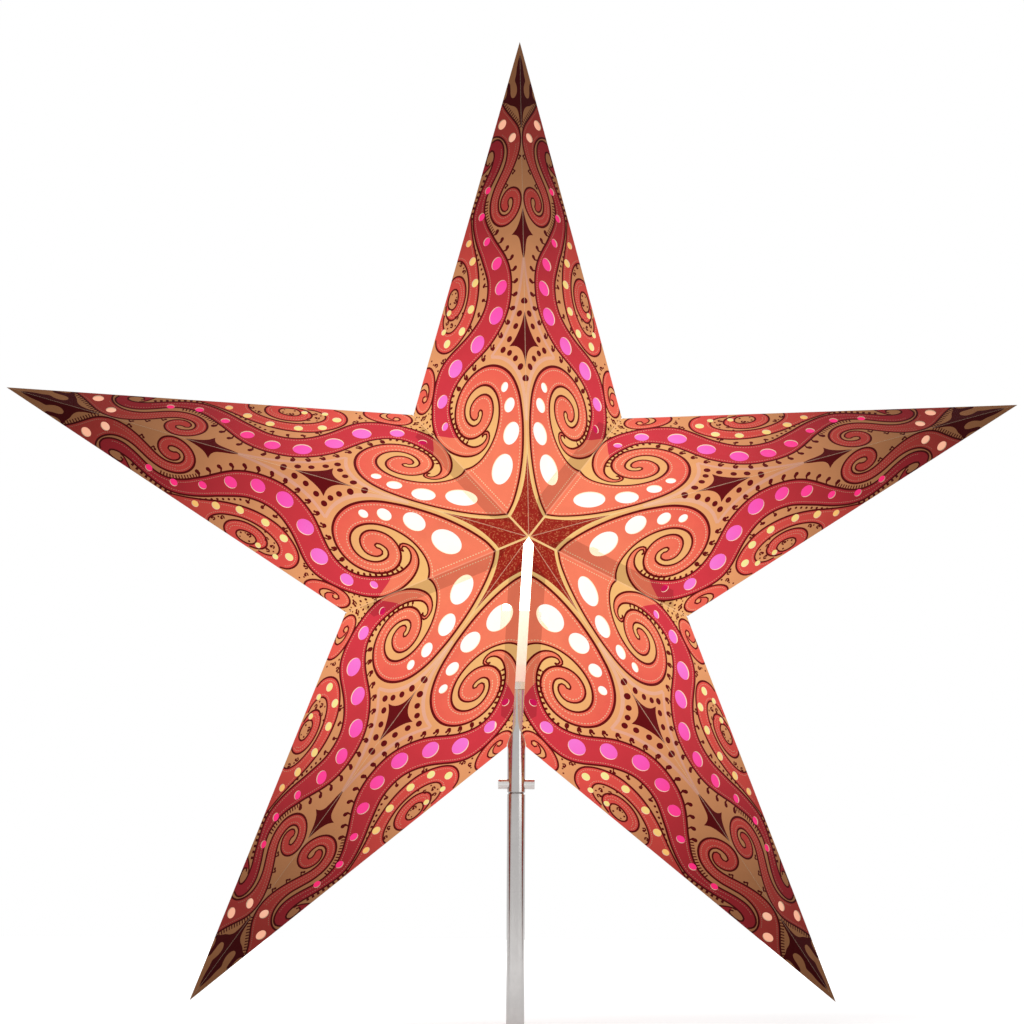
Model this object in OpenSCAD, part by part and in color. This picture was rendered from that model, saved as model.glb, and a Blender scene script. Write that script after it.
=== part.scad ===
// Five-pointed folded card star with punched windows, lit from inside by a lamp on a stem.
// Millimetres. Origin at the foot of the stem, +Z up, the star faces -Y.

/* [Star] */
// Centre of the star to the end of a point
tip_r = 300; // [220:5:340]
// Centre of the star to a notch between two points
notch_r = 100; // [85:1:120]
// Centre of the star to the front or back apex
half_depth = 90; // [75:1:110]

/* [Card] */
// Thickness of the printed card
card_t = 0.5; // [0.3:0.1:0.8]
// Width of the glue flap behind each valley
flap_w = 10; // [6:0.5:12]
// How far a flap stops short of the apex
flap_from_apex = 14; // [8:1:24]
// How far a flap stops short of the notch
flap_from_notch = 12; // [6:1:24]
// Width of the hem along the open seam
hem_w = 8; // [5:0.5:10]

/* [Seam] */
// Width of the slot between the two lower points
seam_gap = 5.4; // [3:0.2:8]
// Gap between the card and the stem that it closes on
stem_grip = 0.3; // [0.2:0.05:0.5]

/* [Windows] */
// Width of the largest white window by the apex
petal_window_w = 15.5; // [8:0.5:18]
// Length of the largest white window by the apex
petal_window_l = 17.5; // [10:0.5:22]
// Diameter of the largest magenta window
band_window_d = 10.6; // [6:0.2:11]
// Diameter of a yellow window
scroll_window_d = 5; // [3:0.2:5.4]
// Diameter of a window near the end of a point
tip_window_d = 5.6; // [3:0.2:6.4]

/* [Films] */
// Thickness of the coloured film and tissue
film_t = 0.15; // [0.1:0.05:0.3]
// Clear strip between a film and the nearest flap, hem, fold or film
film_margin = 1; // [0.5:0.1:1.5]

/* [Lamp] */
// Diameter of the bulb
bulb_d = 45; // [35:1:50]
// Length of the bulb with its cap
bulb_l = 78; // [70:1:84]
// Outer diameter of the bulb's screw cap
cap_d = 13.8; // [12:0.2:14.4]
// Length of the bulb's screw cap
cap_l = 20; // [16:1:22]
// Outer diameter of the lampholder
holder_d = 27; // [25:0.5:30]
// Height of the lampholder's body
holder_h = 30; // [28:1:36]
// Wall of the lampholder
holder_wall = 2; // [1.5:0.1:2.5]
// Height of the lampholder's lower cap
holder_cap_h = 9; // [8:0.5:14]
// Wall of the brass screw shell
shell_wall = 0.5; // [0.3:0.1:0.7]
// Running clearance round the bulb's cap
cap_play = 0.3; // [0.2:0.05:0.4]

/* [Stem] */
// Outer diameter of the stem
stem_d = 10; // [8:0.5:11]
// Wall of the stem
stem_wall = 1.2; // [0.8:0.1:1.6]
// Centre of the star down to the foot of the stem
stem_drop = 260; // [200:5:340]
// Diameter of the cross pin
pin_d = 5.6; // [4:0.2:6.4]
// Length of the cross pin
pin_l = 20; // [16:1:26]
// Centre of the star down to the cross pin
pin_drop = 125; // [118:1:140]
// Clearance round the cross pin in the stem
pin_play = 0.1; // [0.05:0.05:0.2]
// Cross pin down to the joint between the stem's two tubes
joint_drop = 5; // [4:0.5:10]
// Bevel where the two tubes meet
tube_bevel = 0.6; // [0.4:0.1:0.8]
// Length of the plug that joins the two tubes
plug_l = 30; // [26:1:40]
// Wall of the plug
plug_wall = 1; // [0.8:0.1:1.4]
// Clearance round the plug in the tubes
plug_play = 0.1; // [0.05:0.05:0.2]
// Height of the lock nut under the lampholder
nut_h = 4; // [3:0.5:5]
// Width across the flats of the lock nut
nut_af = 15; // [14:0.5:18]

/* [Hidden] */

// Colours
CARD = "indianred";
MAGENTA = "hotpink";
YELLOW = "khaki";
WHITE = "ivory";

// Points are numbered clockwise from the top, as seen from the front
POINTS = 5;
half_angle = 180 / POINTS;
TOP = 0;
RIGHT = 1;
LOWER_RIGHT = 2;
LOWER_LEFT = 3;
LEFT = 4;

// A panel laid flat: the apex is the origin and the ridge runs along +Y to the end of the point
ridge_l = norm([tip_r, half_depth]);
valley_l = norm([notch_r, half_depth]);
edge_l = norm([tip_r - notch_r * cos(half_angle), notch_r * sin(half_angle)]);
notch_y = (pow(valley_l, 2) + pow(ridge_l, 2) - pow(edge_l, 2)) / (2 * ridge_l);
notch_x = sqrt(pow(valley_l, 2) - pow(notch_y, 2));

// The same panel in space, on the right of the front ridge of the top point
apex = [0, -half_depth, 0];
along = [0, half_depth, tip_r] / ridge_l;
notch = [notch_r * sin(half_angle), 0, notch_r * cos(half_angle)];
across = (notch - apex - notch_y * along) / notch_x;
outward = cross(across, along);

// How far past a valley the card runs before it bends under its neighbour
valley_n = [cos(half_angle), 0, -sin(half_angle)];
under_lap = card_t / 2 / abs(outward * valley_n);
bend_reach = 0.75 * under_lap;
overcut = 4 * card_t;
far = 2 * tip_r;
eps = 0.01;

// Windows: [percent along the ridge, percent out from ridge to edge, share of the largest size]
PETAL_ROW = [[14.7, 48, 1], [20.8, 21, 0.75], [26.4, 18, 0.49], [30.3, 20, 0.33]];
BAND_ROW = [
  [27.8, 84.5, 0.45], [33, 73.5, 0.75], [38.4, 67, 1], [41.2, 47.5, 0.98], [45.2, 30.5, 0.98],
  [50.4, 27.5, 0.84], [55.7, 36, 0.73], [61.2, 56, 0.48], [66.9, 74.5, 0.45], [71.8, 73.5, 0.42]
];
SCROLL_ROW = [
  [62.7, 87.5, 0.85], [58.6, 73.5, 1], [53.9, 63, 1], [48.9, 62, 1], [45.3, 68, 1], [44.2, 83, 1],
  [46.9, 91, 0.7], [50.3, 90.5, 0.7]
];
TIP_ROW = [[84.2, 72.5, 1.1], [80.3, 28, 1]];

// Films: corners as [percent along the ridge, percent out from ridge to edge]
MAGENTA_CORNERS = [
  [25.5, 69], [30.5, 62], [34.5, 53.5], [39, 33], [42.5, 14.5], [48.5, 9], [56, 13.5], [63.5, 40],
  [74, 59], [75.5, 91], [66.5, 86.5], [62.5, 72.5], [57, 52.5], [52, 42.5], [47, 44.5], [43.5, 57],
  [41.5, 72.5], [38.5, 84.5], [33.5, 91], [26, 96]
];
YELLOW_CORNERS = [
  [41, 96.5], [42.5, 78], [44.5, 62], [47.5, 50.5], [52.5, 48.5], [57.5, 59], [61, 74], [65.5, 88.5],
  [65.5, 96.5]
];
PETAL_CORNERS = [
  [5.5, 10.5], [6, 81], [13, 99], [18.5, 63], [22.5, 41], [28, 29], [33.5, 24.5], [33, 12.5],
  [27.5, 6.5], [15.5, 6.5]
];
TIP_CORNERS = [[76, 8], [77.5, 55], [82, 95.5], [88, 95.5], [86.5, 33]];

// Lamp heights, all from the centre of the star, which is the middle of the bulb
star_z = stem_drop;
bulb_bottom = bulb_d / 2 - bulb_l;
cap_top = bulb_bottom + cap_l;
contact_h = 1.6;
contact_d = 5;
floor_h = 3;
cap_lip = 1;
neck_lip = 1;
socket_d = cap_d + 2 * cap_play;
holder_bottom = bulb_bottom - contact_h - floor_h;
holder_bore = holder_d - 2 * holder_wall;
stem_top = holder_bottom - 1;
nut_top = holder_bottom - holder_cap_h;
wire_hole_d = 3;
seat_z = holder_bottom + floor_h;
joint_z = star_z - pin_drop - joint_drop;
tube_bore = stem_d - 2 * stem_wall;
plug_d = tube_bore - 2 * plug_play;

// Half of the local width of a flat panel at a distance along its ridge
function panel_w(y) = y < notch_y ? notch_x * y / notch_y
  : notch_x * (ridge_l - y) / (ridge_l - notch_y);

// A spot on a flat panel, from percentages along and out
function spot(s) = [panel_w(ridge_l * s[0] / 100) * s[1] / 100, ridge_l * s[0] / 100];

// An oval as a ring of points
function oval(w, l, n = 32) = [for (i = [0:n - 1]) [w / 2 * cos(i * 360 / n), l / 2 * sin(i * 360 / n)]];

// Puts something drawn on a flat panel where the right front panel of the top point is
module on_panel() {
  multmatrix([
    [across[0], along[0], outward[0], apex[0]],
    [across[1], along[1], outward[1], apex[1]],
    [across[2], along[2], outward[2], apex[2]],
    [0, 0, 0, 1]
  ]) children();
}

// Reflects in the valley on the right of the top point
module over_valley() {
  mirror(valley_n) children();
}

// The wedge between a ridge and its valley, in front of the middle plane.
// The valley side is moved out by shift.
module wedge(shift = 0) {
  start = shift > 0 ? [[0, 0], shift * [cos(half_angle), -sin(half_angle)]]
    : [[0, -shift / sin(half_angle)]];
  end = far * [sin(half_angle), cos(half_angle)] + shift * [cos(half_angle), -sin(half_angle)];
  rotate([90, 0, 0]) linear_extrude(far)
    polygon(concat(start, [end, [0, far]]));
}

// A flat panel, made larger all round so that the wedge can cut it to a mitre at each fold
module panel_blank() {
  polygon([[-overcut, -3 * overcut], [notch_x + overcut, notch_y - overcut],
    [notch_x + overcut, notch_y], [0, ridge_l + overcut], [-overcut, ridge_l + overcut]]);
}

module petal_windows() {
  for (w = PETAL_ROW)
    translate(spot(w)) polygon(oval(petal_window_w * w[2], petal_window_l * w[2]));
}

module round_windows(row, d) {
  for (w = row)
    translate(spot(w)) circle(d = d * w[2], $fn = 32);
}

module all_windows() {
  petal_windows();
  round_windows(BAND_ROW, band_window_d);
  round_windows(SCROLL_ROW, scroll_window_d);
  round_windows(TIP_ROW, tip_window_d);
}

// A strip along the valley of a flat panel, from one distance off the apex to another
module valley_strip(start, end, width) {
  rotate(atan2(notch_y, notch_x))
    polygon([[start, -width / 20], [end, -width / 20], [end, 0], [end - width, width],
      [start + width, width], [start, 0]]);
}

// One printed panel, mitred where it meets the other panels of its point
module panel(shift) {
  intersection() {
    on_panel() translate([0, 0, -card_t]) linear_extrude(card_t) difference() {
      panel_blank();
      all_windows();
    }
    wedge(shift);
  }
}

// The strip that bends round a valley and lies behind the neighbour's panel
module flap() {
  end = valley_l - flap_from_notch;
  intersection() {
    over_valley() on_panel() translate([0, 0, -2 * card_t]) linear_extrude(card_t)
      valley_strip(flap_from_apex, end, flap_w);
    over_valley() wedge();
  }
  intersection() {
    on_panel() translate([0, 0, -card_t]) linear_extrude(card_t)
      rotate(atan2(notch_y, notch_x)) translate([flap_from_apex - card_t, -overcut])
        square([end - flap_from_apex + 2 * card_t, 2 * overcut]);
    wedge(bend_reach);
  }
}

// The strip folded flat behind a panel's own free edge
module hem() {
  intersection() {
    on_panel() translate([0, 0, -2 * card_t]) linear_extrude(card_t)
      valley_strip(flap_from_apex, valley_l - flap_from_notch, hem_w);
    wedge(-seam_gap / 2);
  }
}

// The right and the left side of a point, front and back
module front_and_back() {
  for (side = [0, 1])
    mirror([0, side, 0]) children();
}

module clockwise_side(seam) {
  front_and_back() {
    panel(seam ? -seam_gap / 2 : -under_lap);
    if (seam) hem();
  }
}

module counter_side(seam) {
  mirror([1, 0, 0]) front_and_back() {
    panel(seam ? -seam_gap / 2 : 0);
    if (seam) hem();
    if (!seam) flap();
  }
}

// Turns the top point into point i
module at_point(i) {
  translate([0, 0, star_z]) rotate([0, i * 2 * half_angle, 0]) children();
}

// The hole in the seam that the card closes round the stem with
module stem_passage() {
  translate([0, 0, star_z - notch_r - flap_w])
    cylinder(d = stem_d + 2 * stem_grip, h = 2 * flap_w + notch_r / 2, $fn = 64);
}

// One point: a single printed sheet, folded along two ridges and two edges
module point(i) {
  color(CARD) difference() {
    at_point(i) {
      clockwise_side(i == LOWER_RIGHT);
      counter_side(i == LOWER_LEFT);
    }
    if (i == LOWER_RIGHT || i == LOWER_LEFT) stem_passage();
  }
}

// The part of a flat panel that a film may cover: clear of the ridge, the edge and the strip
module film_area(strip) {
  valley = atan2(notch_y, notch_x);
  intersection() {
    translate([film_margin, 0]) square([far, ridge_l]);
    rotate(valley) translate([0, strip + film_margin]) square(far);
    translate([notch_x, notch_y]) rotate(atan2(ridge_l - notch_y, -notch_x))
      translate([-far, film_margin + card_t]) square([2 * far, far]);
    polygon([[0, 0], [notch_x, notch_y], [0, ridge_l]]);
  }
}

// One flat film glued behind each of the four panels of a point
module films(i, corners) {
  at_point(i)
    for (side = [0, 1]) {
      seam = i == (side == 0 ? LOWER_RIGHT : LOWER_LEFT);
      strip = seam ? hem_w + seam_gap : side == 0 ? flap_w : 0;
      mirror([side, 0, 0]) front_and_back()
        on_panel() translate([0, 0, -card_t - film_t]) linear_extrude(film_t)
          intersection() {
            polygon([for (c = corners) spot(c)]);
            film_area(strip);
          }
    }
}

module magenta_film(i) {
  color(MAGENTA) films(i, MAGENTA_CORNERS);
}

module yellow_film(i) {
  color(YELLOW) films(i, YELLOW_CORNERS);
}

module white_tissue(i) {
  color(WHITE) {
    films(i, PETAL_CORNERS);
    films(i, TIP_CORNERS);
  }
}

// Bulb with its screw cap, as one sealed piece
module light_bulb() {
  neck_d = cap_d + 2 * neck_lip;
  r = bulb_d / 2;
  neck_z = -sqrt(pow(r, 2) - pow(neck_d / 2, 2));
  color("ivory") translate([0, 0, star_z]) {
    sphere(r = r, $fn = 96);
    translate([0, 0, cap_top]) cylinder(d = neck_d, h = neck_z - cap_top + 1, $fn = 64);
    translate([0, 0, bulb_bottom + contact_h])
      cylinder(d = cap_d, h = cap_top - bulb_bottom - contact_h + eps, $fn = 64);
    translate([0, 0, bulb_bottom])
      cylinder(d1 = contact_d, d2 = cap_d - 2 * cap_lip, h = contact_h, $fn = 64);
  }
}

// Brass shell that the bulb's cap screws into, seated on the lampholder's floor
module screw_shell() {
  shell_h = bulb_bottom + cap_l - seat_z - cap_lip;
  color("goldenrod") translate([0, 0, star_z + seat_z]) difference() {
    cylinder(d = socket_d + 2 * shell_wall, h = shell_h, $fn = 64);
    translate([0, 0, shell_wall]) cylinder(d = socket_d, h = shell_h, $fn = 64);
    translate([0, 0, -1]) cylinder(d = socket_d - 2 * cap_lip, h = shell_h, $fn = 64);
  }
}

// Spring contact under the bulb's end
module centre_contact() {
  color("goldenrod") translate([0, 0, star_z + seat_z])
    cylinder(d = contact_d, h = contact_h, $fn = 48);
}

// Moulded body of the lampholder
module holder_body() {
  color("ghostwhite") translate([0, 0, star_z + holder_bottom]) difference() {
    cylinder(d = holder_d, h = holder_h, $fn = 96);
    translate([0, 0, floor_h]) cylinder(d = holder_bore, h = holder_h, $fn = 96);
    for (side = [-1, 1])
      translate([side * holder_bore / 4, 0, -1]) cylinder(d = wire_hole_d, h = holder_h, $fn = 32);
  }
}

// Cap that closes the lampholder and carries it on the stem
module holder_cap() {
  color("ghostwhite") translate([0, 0, star_z + holder_bottom - holder_cap_h]) difference() {
    cylinder(d1 = nut_af + 2, d2 = holder_d, h = holder_cap_h, $fn = 96);
    translate([0, 0, holder_wall])
      cylinder(d1 = nut_af - 2, d2 = holder_bore, h = holder_cap_h - holder_wall + eps, $fn = 96);
    translate([0, 0, -1]) cylinder(d = stem_d, h = holder_cap_h, $fn = 64);
  }
}

// Nut that locks the lampholder's cap on the stem
module lock_nut() {
  color("silver") translate([0, 0, star_z + nut_top - nut_h]) difference() {
    cylinder(d = nut_af / cos(30), h = nut_h, $fn = 6);
    translate([0, 0, -1]) cylinder(d = stem_d, h = nut_h + 2, $fn = 64);
  }
}

// A length of the polished tube above the plane z = 0, bevelled at that end
module tube(h) {
  difference() {
    union() {
      cylinder(d1 = stem_d - 2 * tube_bevel, d2 = stem_d, h = tube_bevel, $fn = 96);
      translate([0, 0, tube_bevel]) cylinder(d = stem_d, h = h - tube_bevel, $fn = 96);
    }
    translate([0, 0, -1]) cylinder(d = tube_bore, h = h + 2, $fn = 96);
  }
}

module pin_hole() {
  translate([0, 0, star_z - pin_drop]) rotate([0, 90, 0])
    cylinder(d = pin_d + 2 * pin_play, h = 2 * stem_d, center = true, $fn = 64);
}

// Upper tube, which carries the lamp and the star
module stem_tube() {
  color("silver") difference() {
    translate([0, 0, joint_z]) tube(star_z + stem_top - joint_z);
    pin_hole();
  }
}

// Lower tube, which goes into whatever the star stands on
module foot_tube() {
  color("silver") translate([0, 0, joint_z]) mirror([0, 0, 1]) tube(joint_z);
}

// Turned plug inside the two tubes, locked by the cross pin
module joint_plug() {
  color("gainsboro") difference() {
    translate([0, 0, joint_z - plug_l / 2]) cylinder(d = plug_d, h = plug_l, $fn = 96);
    translate([0, 0, joint_z - plug_l]) cylinder(d = plug_d - 2 * plug_wall, h = 2 * plug_l, $fn = 96);
    pin_hole();
  }
}

// Pin through the upper tube and the plug, below the star
module cross_pin() {
  color("silver") translate([0, 0, star_z - pin_drop]) rotate([0, 90, 0])
    cylinder(d = pin_d, h = pin_l, center = true, $fn = 64);
}

point(TOP);  // point_top
point(RIGHT);  // point_right
point(LOWER_RIGHT);  // point_lower_right
point(LOWER_LEFT);  // point_lower_left
point(LEFT);  // point_left
magenta_film(TOP);  // magenta_film_top
magenta_film(RIGHT);  // magenta_film_right
magenta_film(LOWER_RIGHT);  // magenta_film_lower_right
magenta_film(LOWER_LEFT);  // magenta_film_lower_left
magenta_film(LEFT);  // magenta_film_left
yellow_film(TOP);  // yellow_film_top
yellow_film(RIGHT);  // yellow_film_right
yellow_film(LOWER_RIGHT);  // yellow_film_lower_right
yellow_film(LOWER_LEFT);  // yellow_film_lower_left
yellow_film(LEFT);  // yellow_film_left
white_tissue(TOP);  // white_tissue_top
white_tissue(RIGHT);  // white_tissue_right
white_tissue(LOWER_RIGHT);  // white_tissue_lower_right
white_tissue(LOWER_LEFT);  // white_tissue_lower_left
white_tissue(LEFT);  // white_tissue_left
light_bulb();
screw_shell();
centre_contact();
holder_body();
holder_cap();
lock_nut();
stem_tube();
foot_tube();
joint_plug();
cross_pin();
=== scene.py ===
"""Looks of the folded card star: its print, films, lamp and stem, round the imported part.

The print is drawn flat for one panel, in millimetres: the front apex of the star is the origin, the
ridge of the point runs along +v and the panel lies on the side of +u. The flat drawing is cut into one
layer of print, and then folded on to the four panels of each of the five points.
"""

import math

import bpy
import numpy as np
from mathutils import Matrix, Vector, geometry


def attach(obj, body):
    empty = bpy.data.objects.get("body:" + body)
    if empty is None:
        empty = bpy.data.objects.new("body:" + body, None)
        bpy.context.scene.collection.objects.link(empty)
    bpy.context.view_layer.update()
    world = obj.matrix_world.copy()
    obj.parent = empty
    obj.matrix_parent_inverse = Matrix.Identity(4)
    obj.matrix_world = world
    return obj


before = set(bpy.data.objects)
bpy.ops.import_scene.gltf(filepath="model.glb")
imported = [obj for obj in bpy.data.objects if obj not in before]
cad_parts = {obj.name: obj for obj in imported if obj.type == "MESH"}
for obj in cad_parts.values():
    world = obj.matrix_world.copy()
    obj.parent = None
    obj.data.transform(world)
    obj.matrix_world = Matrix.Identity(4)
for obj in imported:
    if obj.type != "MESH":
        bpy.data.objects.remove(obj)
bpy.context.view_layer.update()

MM = 0.001

# ---------------------------------------------------------------- sizes, as in the part's source

TIP_R = 300.0
NOTCH_R = 100.0
HALF_DEPTH = 90.0
CARD_T = 0.5
STAR_Z = 260.0
SEAM_GAP = 5.4
FLAP_W = 10.0
FLAP_FROM_APEX = 14.0
FLAP_FROM_NOTCH = 12.0
HEM_W = 8.0
PASSAGE_R = 5.3
BULB_CAP_TOP = STAR_Z - 36.0
PRINT_LIFT = 0.05
SAME_PLACE = 0.002

POINT_NAMES = ("top", "right", "lower_right", "lower_left", "left")
LOWER_RIGHT = 2
LOWER_LEFT = 3
TURN = math.radians(72)

HALF = TURN / 2
RIDGE = math.hypot(TIP_R, HALF_DEPTH)
VALLEY = math.hypot(NOTCH_R, HALF_DEPTH)
EDGE = math.hypot(TIP_R - NOTCH_R * math.cos(HALF), NOTCH_R * math.sin(HALF))
NOTCH_V = (VALLEY**2 + RIDGE**2 - EDGE**2) / (2 * RIDGE)
NOTCH_U = math.sqrt(VALLEY**2 - NOTCH_V**2)

APEX = np.array([0, -HALF_DEPTH, 0])
ALONG = np.array([0, HALF_DEPTH, TIP_R]) / RIDGE
NOTCH_DIR = np.array([math.sin(HALF), 0, math.cos(HALF)])
ACROSS = (NOTCH_R * NOTCH_DIR - APEX - NOTCH_V * ALONG) / NOTCH_U
OUTWARD = np.cross(ACROSS, ALONG)
LAMP = np.array([0, 0, STAR_Z]) * MM

# Unit vectors of the flat panel: along the valley, and square to it
VALLEY_DIR = np.array([NOTCH_U, NOTCH_V]) / VALLEY
VALLEY_IN = np.array([-VALLEY_DIR[1], VALLEY_DIR[0]])
VALLEY_N = np.array([math.cos(HALF), 0, -math.sin(HALF)])
VALLEY_TILT = abs(VALLEY_IN @ [ACROSS, ALONG] @ VALLEY_N)
# How far the clockwise side's card stops short of the valley, and how its cut edge leans
UNDER_LAP = CARD_T / 2 / abs(OUTWARD @ VALLEY_N) / VALLEY_TILT
CUT_LEAN = -CARD_T * (OUTWARD @ VALLEY_N) / VALLEY_TILT
EDGE_DIR = np.array([-NOTCH_U, RIDGE - NOTCH_V]) / EDGE
EDGE_IN = np.array([-EDGE_DIR[1], EDGE_DIR[0]])

# Windows: middle along and across, width, length, in millimetres
PETAL_ROW = [(14.7, 48, 1), (20.8, 21, 0.75), (26.4, 18, 0.49), (30.3, 20, 0.33)]
BAND_ROW = [(27.8, 84.5, 0.45), (33, 73.5, 0.75), (38.4, 67, 1), (41.2, 47.5, 0.98), (45.2, 30.5, 0.98),
            (50.4, 27.5, 0.84), (55.7, 36, 0.73), (61.2, 56, 0.48), (66.9, 74.5, 0.45), (71.8, 73.5, 0.42)]
SCROLL_ROW = [(62.7, 87.5, 0.85), (58.6, 73.5, 1), (53.9, 63, 1), (48.9, 62, 1), (45.3, 68, 1),
              (44.2, 83, 1), (46.9, 91, 0.7), (50.3, 90.5, 0.7)]
TIP_ROW = [(84.2, 72.5, 1.1), (80.3, 28, 1)]
WINDOW_SIZES = [(PETAL_ROW, 15.5, 17.5), (BAND_ROW, 10.6, 10.6), (SCROLL_ROW, 5, 5), (TIP_ROW, 5.6, 5.6)]
WINDOW_RIM = 0.05
FIRST_BAND_WINDOW = len(PETAL_ROW)

# ---------------------------------------------------------------- camera

CAMERA_AZ = math.radians(-3.67)
CAMERA_EL = math.radians(-8.59)
CAMERA_ROLL = math.radians(0.29)
CAMERA_DISTANCE = 1.5
CAMERA_TARGET = Vector((-0.0031, 0, 0.2867))
FOCAL_PIXELS = 2680
IMAGE_PIXELS = 1024
SENSOR = 36.0


def add_camera():
    back = Vector((math.sin(CAMERA_AZ) * math.cos(CAMERA_EL),
                   -math.cos(CAMERA_AZ) * math.cos(CAMERA_EL), math.sin(CAMERA_EL)))
    right = Vector((math.cos(CAMERA_AZ), math.sin(CAMERA_AZ), 0))
    up = back.cross(right)
    turn = Matrix.Rotation(CAMERA_ROLL, 3, back)
    data = bpy.data.cameras.new("camera")
    data.sensor_width = SENSOR
    data.lens = SENSOR * FOCAL_PIXELS / IMAGE_PIXELS
    data.clip_start, data.clip_end = 0.05, 50
    camera = bpy.data.objects.new("camera", data)
    axes = Matrix((turn @ right, turn @ up, turn @ back)).transposed()
    camera.matrix_world = Matrix.Translation(CAMERA_TARGET + back * CAMERA_DISTANCE) @ axes.to_4x4()
    bpy.context.scene.collection.objects.link(camera)
    bpy.context.scene.camera = camera


# ---------------------------------------------------------------- flat drawing: curves


def smooth(points, step=2.0, closed=False):
    """A smooth curve through the points, with vertices about a step apart."""
    p = np.array(points, float)
    if closed:
        p = np.vstack([p[-1], p, p[:2]])
    else:
        p = np.vstack([2 * p[0] - p[1], p, 2 * p[-1] - p[-2]])
    t = np.concatenate([[0], np.cumsum(np.sqrt(np.linalg.norm(np.diff(p, axis=0), axis=1)))])
    curve = []
    for i in range(1, len(p) - 2):
        t0, t1, t2, t3 = t[i - 1:i + 3]
        s = np.linspace(t1, t2, 24, endpoint=False)[:, None]
        a1 = ((t1 - s) * p[i - 1] + (s - t0) * p[i]) / (t1 - t0)
        a2 = ((t2 - s) * p[i] + (s - t1) * p[i + 1]) / (t2 - t1)
        a3 = ((t3 - s) * p[i + 1] + (s - t2) * p[i + 2]) / (t3 - t2)
        b1 = ((t2 - s) * a1 + (s - t0) * a2) / (t2 - t0)
        b2 = ((t3 - s) * a2 + (s - t1) * a3) / (t3 - t1)
        curve.append(((t2 - s) * b1 + (s - t1) * b2) / (t2 - t1))
    curve = np.vstack(curve + [p[-2][None]])
    run = np.concatenate([[0], np.cumsum(np.linalg.norm(np.diff(curve, axis=0), axis=1))])
    n = max(3, round(run[-1] / step))
    at = np.linspace(0, run[-1], n + 1)
    even = np.stack([np.interp(at, run, curve[:, k]) for k in (0, 1)], 1)
    return even[:-1] if closed else even


def beside(curve, distance):
    """The curve moved to its left by a distance, or to its right by a negative one."""
    tangent = np.gradient(curve, axis=0)
    tangent /= np.linalg.norm(tangent, axis=1)[:, None]
    return curve + distance * np.stack([-tangent[:, 1], tangent[:, 0]], 1)


def part_of(curve, start, end):
    """The stretch of a curve between two shares of its length."""
    n = len(curve) - 1
    return curve[round(start * n):round(end * n) + 1]


def oval(u, v, width, length, n=24, turn=0.0):
    a = np.linspace(0, 2 * math.pi, n, endpoint=False)
    x, y = width / 2 * np.cos(a), length / 2 * np.sin(a)
    c, s = math.cos(turn), math.sin(turn)
    return np.stack([u + c * x - s * y, v + s * x + c * y], 1)


def panel_width(v):
    return NOTCH_U * v / NOTCH_V if v < NOTCH_V else NOTCH_U * (RIDGE - v) / (RIDGE - NOTCH_V)


def window_outlines():
    for row, width, length in WINDOW_SIZES:
        for along, out, share in row:
            v = RIDGE * along / 100
            u = panel_width(v) * out / 100
            yield oval(u, v, width * share + 2 * WINDOW_RIM, length * share + 2 * WINDOW_RIM, 32)


# ---------------------------------------------------------------- flat drawing: Geometry Nodes


def new_tree(name, kind, inputs, outputs):
    """A node group with named sockets. An input is (name, socket type, value or None)."""
    tree = bpy.data.node_groups.new(name, kind)
    for label, socket_type, value in inputs:
        socket = tree.interface.new_socket(label, in_out="INPUT", socket_type=socket_type)
        if value is not None:
            socket.default_value = value
    for label, socket_type in outputs:
        tree.interface.new_socket(label, in_out="OUTPUT", socket_type=socket_type)
    return tree, tree.nodes.new("NodeGroupInput"), tree.nodes.new("NodeGroupOutput")


def geometry_tree(name, inputs):
    return new_tree(name, "GeometryNodeTree", [("Geometry", "NodeSocketGeometry", None)] + inputs,
                    [("Geometry", "NodeSocketGeometry")])


def pen_tree():
    """Sweeps a flat nib along each line, as wide as the line's own attribute says."""
    tree, given, result = geometry_tree("Pen line", [("Nib", "NodeSocketFloat", 1.0)])
    nodes, link = tree.nodes, tree.links.new
    curve = nodes.new("GeometryNodeMeshToCurve")
    flat = nodes.new("GeometryNodeSetCurveNormal")
    flat.mode = "Z_UP"
    width = nodes.new("GeometryNodeInputNamedAttribute")
    width.data_type = "FLOAT"
    width.inputs["Name"].default_value = "pen_width"
    size = nodes.new("ShaderNodeMath")
    size.operation = "MULTIPLY"
    nib = nodes.new("GeometryNodeCurvePrimitiveLine")
    nib.inputs["Start"].default_value = (-0.5, 0, 0)
    nib.inputs["End"].default_value = (0.5, 0, 0)
    sweep = nodes.new("GeometryNodeCurveToMesh")
    link(given.outputs["Geometry"], curve.inputs["Mesh"])
    link(curve.outputs["Curve"], flat.inputs["Curve"])
    link(width.outputs["Attribute"], size.inputs[0])
    link(given.outputs["Nib"], size.inputs[1])
    link(flat.outputs["Curve"], sweep.inputs["Curve"])
    link(nib.outputs["Curve"], sweep.inputs["Profile Curve"])
    link(size.outputs["Value"], sweep.inputs["Scale"])
    link(sweep.outputs["Mesh"], result.inputs["Geometry"])
    return tree


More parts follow.
